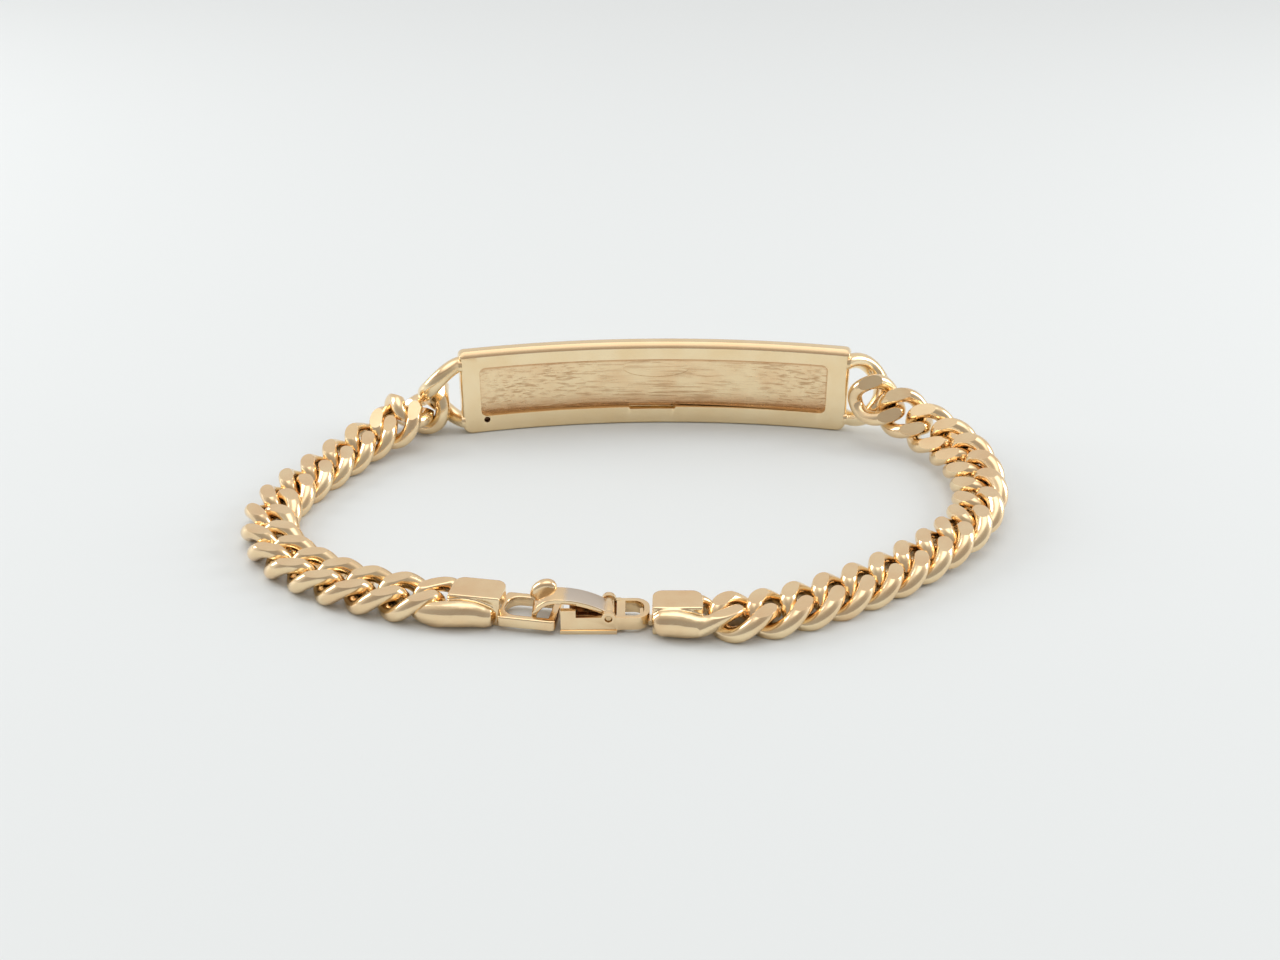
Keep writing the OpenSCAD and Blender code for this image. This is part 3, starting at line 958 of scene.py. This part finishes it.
def makePin():
    c = claspShape
    pin = rodAlongY(*c["hinge"], c["front"] + c["pinInset"], c["back"] - c["pinInset"], c["pin"])
    edged(pin, c["pinDome"], 60, 4)
    pin.name = "clasp_pin_body"
    setInPlace(pin, layout)
    pin.data.materials.append(pinGold)
    smoothShade(pin, 40)
    handOver(pin, "bracelet", "clasp_pin")


def coverStrip(inset, sink, lowest, archDegrees):
    # A ribbon of the strap's outer face, thickened inwards. It starts as a line across the crest, which is
    # spun down at the clasp's mouth, and for the strap also over the arch to the hinge
    c = coverShape
    x, z = c["crest"]
    z, bend = z - sink, c["bend"] - sink
    deselect()
    bpy.ops.mesh.primitive_plane_add(size=1, location=(x, c["front"] + c["width"] / 2, z))
    ribbon = bpy.context.object
    bpy.ops.object.mode_set(mode="EDIT")
    bpy.ops.transform.resize(value=(1, c["width"] - 2 * inset, 1))
    bpy.ops.mesh.select_mode(type="VERT")
    bpy.ops.mesh.select_all(action="DESELECT")
    finishEdit()
    for corner in ribbon.data.vertices:
        corner.select = corner.co.x > 0
    bpy.ops.object.mode_set(mode="EDIT")
    bpy.ops.mesh.delete(type="VERT")
    bpy.ops.mesh.select_all(action="SELECT")
    bpy.ops.transform.translate(value=(0.5, 0, 0))
    down = math.pi / 2 - math.asin((lowest - (z - bend)) / bend)
    bpy.ops.mesh.spin(steps=c["spinSteps"], angle=down, center=(x, 0, z - bend), axis=(0, 1, 0))
    finishEdit()
    if archDegrees:
        bpy.ops.object.mode_set(mode="EDIT")
        bpy.ops.mesh.select_all(action="DESELECT")
        finishEdit()
        for corner in ribbon.data.vertices:
            corner.select = abs((ribbon.matrix_world @ corner.co).x - x) < touch
        bpy.ops.object.mode_set(mode="EDIT")
        bpy.ops.mesh.spin(
            steps=c["spinSteps"], angle=-math.radians(archDegrees), center=(x, 0, z - c["arch"]),
            axis=(0, 1, 0))
        finishEdit()
    editAll(ribbon)
    bpy.ops.mesh.remove_doubles(threshold=touch)
    bpy.ops.mesh.normals_make_consistent(inside=False)
    finishEdit()
    if sum(face.normal.z for face in ribbon.data.polygons) < 0:
        editAll(ribbon)
        bpy.ops.mesh.flip_normals()
        finishEdit()
    applyModifier(ribbon, "SOLIDIFY", thickness=c["thick"], offset=-1)
    setInPlace(ribbon, Matrix.Identity(4))
    return ribbon


def makeCover():
    c, hinge = coverShape, claspShape["hinge"]
    archDegrees = math.degrees(math.asin((hinge[0] - c["crest"][0]) / c["arch"]))
    strap = edged(coverStrip(0, 0, c["strapBottom"], archDegrees), c["edge"], 40, 3)
    tongue = edged(coverStrip(c["tongueInset"], c["tongueSink"], c["tongueBottom"], 0), c["edge"], 40, 2)
    front, back = c["front"], c["front"] + c["width"]
    knuckle = edged(rodAlongY(*hinge, front, back, claspShape["knuckle"]), c["knuckleEdge"], 60, 2)
    # The thumb tab is a rounded pebble set on the cover's crest
    (x, z), (long, high) = c["tab"], c["tabStretch"]
    tab = rodAlongY(0, 0, -c["tabThick"] / 2, c["tabThick"] / 2, c["tabRadius"])
    edged(tab, c["tabRound"], 60, 6)
    tilt = Matrix.Rotation(math.radians(c["tabTilt"]), 4, "Y")
    setInPlace(tab, Matrix.Translation((x, back, z)) @ tilt @ Matrix.Diagonal((long, 1, high, 1)))
    combine(strap, [tongue, knuckle, tab])
    bore = rodAlongY(*hinge, front - overcut, back + overcut, claspShape["pin"] + c["bore"])
    combine(strap, [bore], "DIFFERENCE")
    strap.name = "clasp_cover_body"
    setInPlace(strap, layout)
    strap.data.materials.clear()
    strap.data.materials.append(coverGold)
    smoothShade(strap, 32)
    handOver(strap, "cover", "clasp_cover")


print("building the chain")
layChain()
print("building the plate")
makePlate()
print("building the caps and the clasp")
makeCaps()
makeClaspBase()
makePin()
makeCover()


# Stage: a pale table in a light tent that is bright overhead and dim behind the camera.
# The stops run up the sky from the horizon, and from behind the camera to the far side
stageLooks = {
    "tableSize": 3,
    "tableMiddle": (0, 0.5, 0),
    "table": (0.735, 0.775, 0.79),
    "tableRoughness": 0.5,
    "tableShine": 0.2,
    "skyStrength": 2.1,
    "sky": ((0.0, (0.35, 0.35, 0.36)), (0.45, (0.35, 0.335, 0.325)), (0.58, (0.35, 0.33, 0.32)),
            (0.68, (0.37, 0.345, 0.32)), (0.80, (0.39, 0.365, 0.34)), (0.88, (0.49, 0.475, 0.46)),
            (0.94, (0.84, 0.83, 0.81)), (1.0, (0.84, 0.84, 0.84))),
    "cameraSide": ((0.0, 0.5), (0.26, 0.6), (0.42, 0.95), (0.5, 1.0)),
    "overhead": (0.87, 0.94),
    "lamps": (
        {"place": (-0.30, 0.10, 0.16), "size": (0.10, 0.22), "power": 0.42},
        {"place": (0.30, 0.05, 0.14), "size": (0.10, 0.22), "power": 0.38},
    ),
}


def ramp(tree, value, stops):
    node = newNode(tree, "ShaderNodeValToRGB")
    bands = node.color_ramp.elements
    for position, _ in stops[1:-1]:
        bands.new(position)
    for band, (position, colour) in zip(bands, stops):
        band.position = position
        band.color = (*colour, 1) if isinstance(colour, tuple) else (colour, colour, colour, 1)
    tree.links.new(value, node.inputs["Fac"])
    return node.outputs["Color"]


def buildStage():
    deselect()
    bpy.ops.mesh.primitive_plane_add(size=stageLooks["tableSize"], location=stageLooks["tableMiddle"])
    table = bpy.context.object
    table.name = "table"
    cloth = bpy.data.materials.new("table_white")
    cloth.use_nodes = True
    shader = cloth.node_tree.nodes["Principled BSDF"]
    shader.inputs["Base Color"].default_value = (*stageLooks["table"], 1)
    shader.inputs["Roughness"].default_value = stageLooks["tableRoughness"]
    shader.inputs["Specular IOR Level"].default_value = stageLooks["tableShine"]
    table.data.materials.append(cloth)

    world = bpy.data.worlds.new("lightTent")
    bpy.context.scene.world = world
    world.use_nodes = True
    tree = world.node_tree
    facing = axesOf(tree, newNode(tree, "ShaderNodeTexCoord").outputs["Generated"])
    sky = ramp(tree, facing["Z"], stageLooks["sky"])
    depth = calc(tree, "MULTIPLY_ADD", facing["Y"], 0.5, 0.5)
    dim = ramp(tree, depth, stageLooks["cameraSide"])
    dim = tint(tree, fade(tree, facing["Z"], *stageLooks["overhead"]), dim, (1, 1, 1))
    lit = newNode(tree, "ShaderNodeMix", data_type="RGBA", blend_type="MULTIPLY")
    lit.inputs["Factor"].default_value = 1
    tree.links.new(sky, lit.inputs["A"])
    tree.links.new(dim, lit.inputs["B"])
    tree.links.new(lit.outputs["Result"], tree.nodes["Background"].inputs["Color"])
    tree.nodes["Background"].inputs["Strength"].default_value = stageLooks["skyStrength"]

    for number, lamp in enumerate(stageLooks["lamps"]):
        place = Vector(lamp["place"])
        towardsMiddle = (-place).to_track_quat("-Z", "Y").to_euler()
        bpy.ops.object.light_add(type="AREA", location=place, rotation=towardsMiddle)
        light = bpy.context.object
        light.name = f"side_lamp_{number}"
        light.data.shape = "RECTANGLE"
        light.data.size, light.data.size_y = lamp["size"]
        light.data.energy = lamp["power"]


print("setting the camera, the table and the light")
placeCamera()
buildStage()
bpy.context.scene.view_settings.view_transform = "Standard"
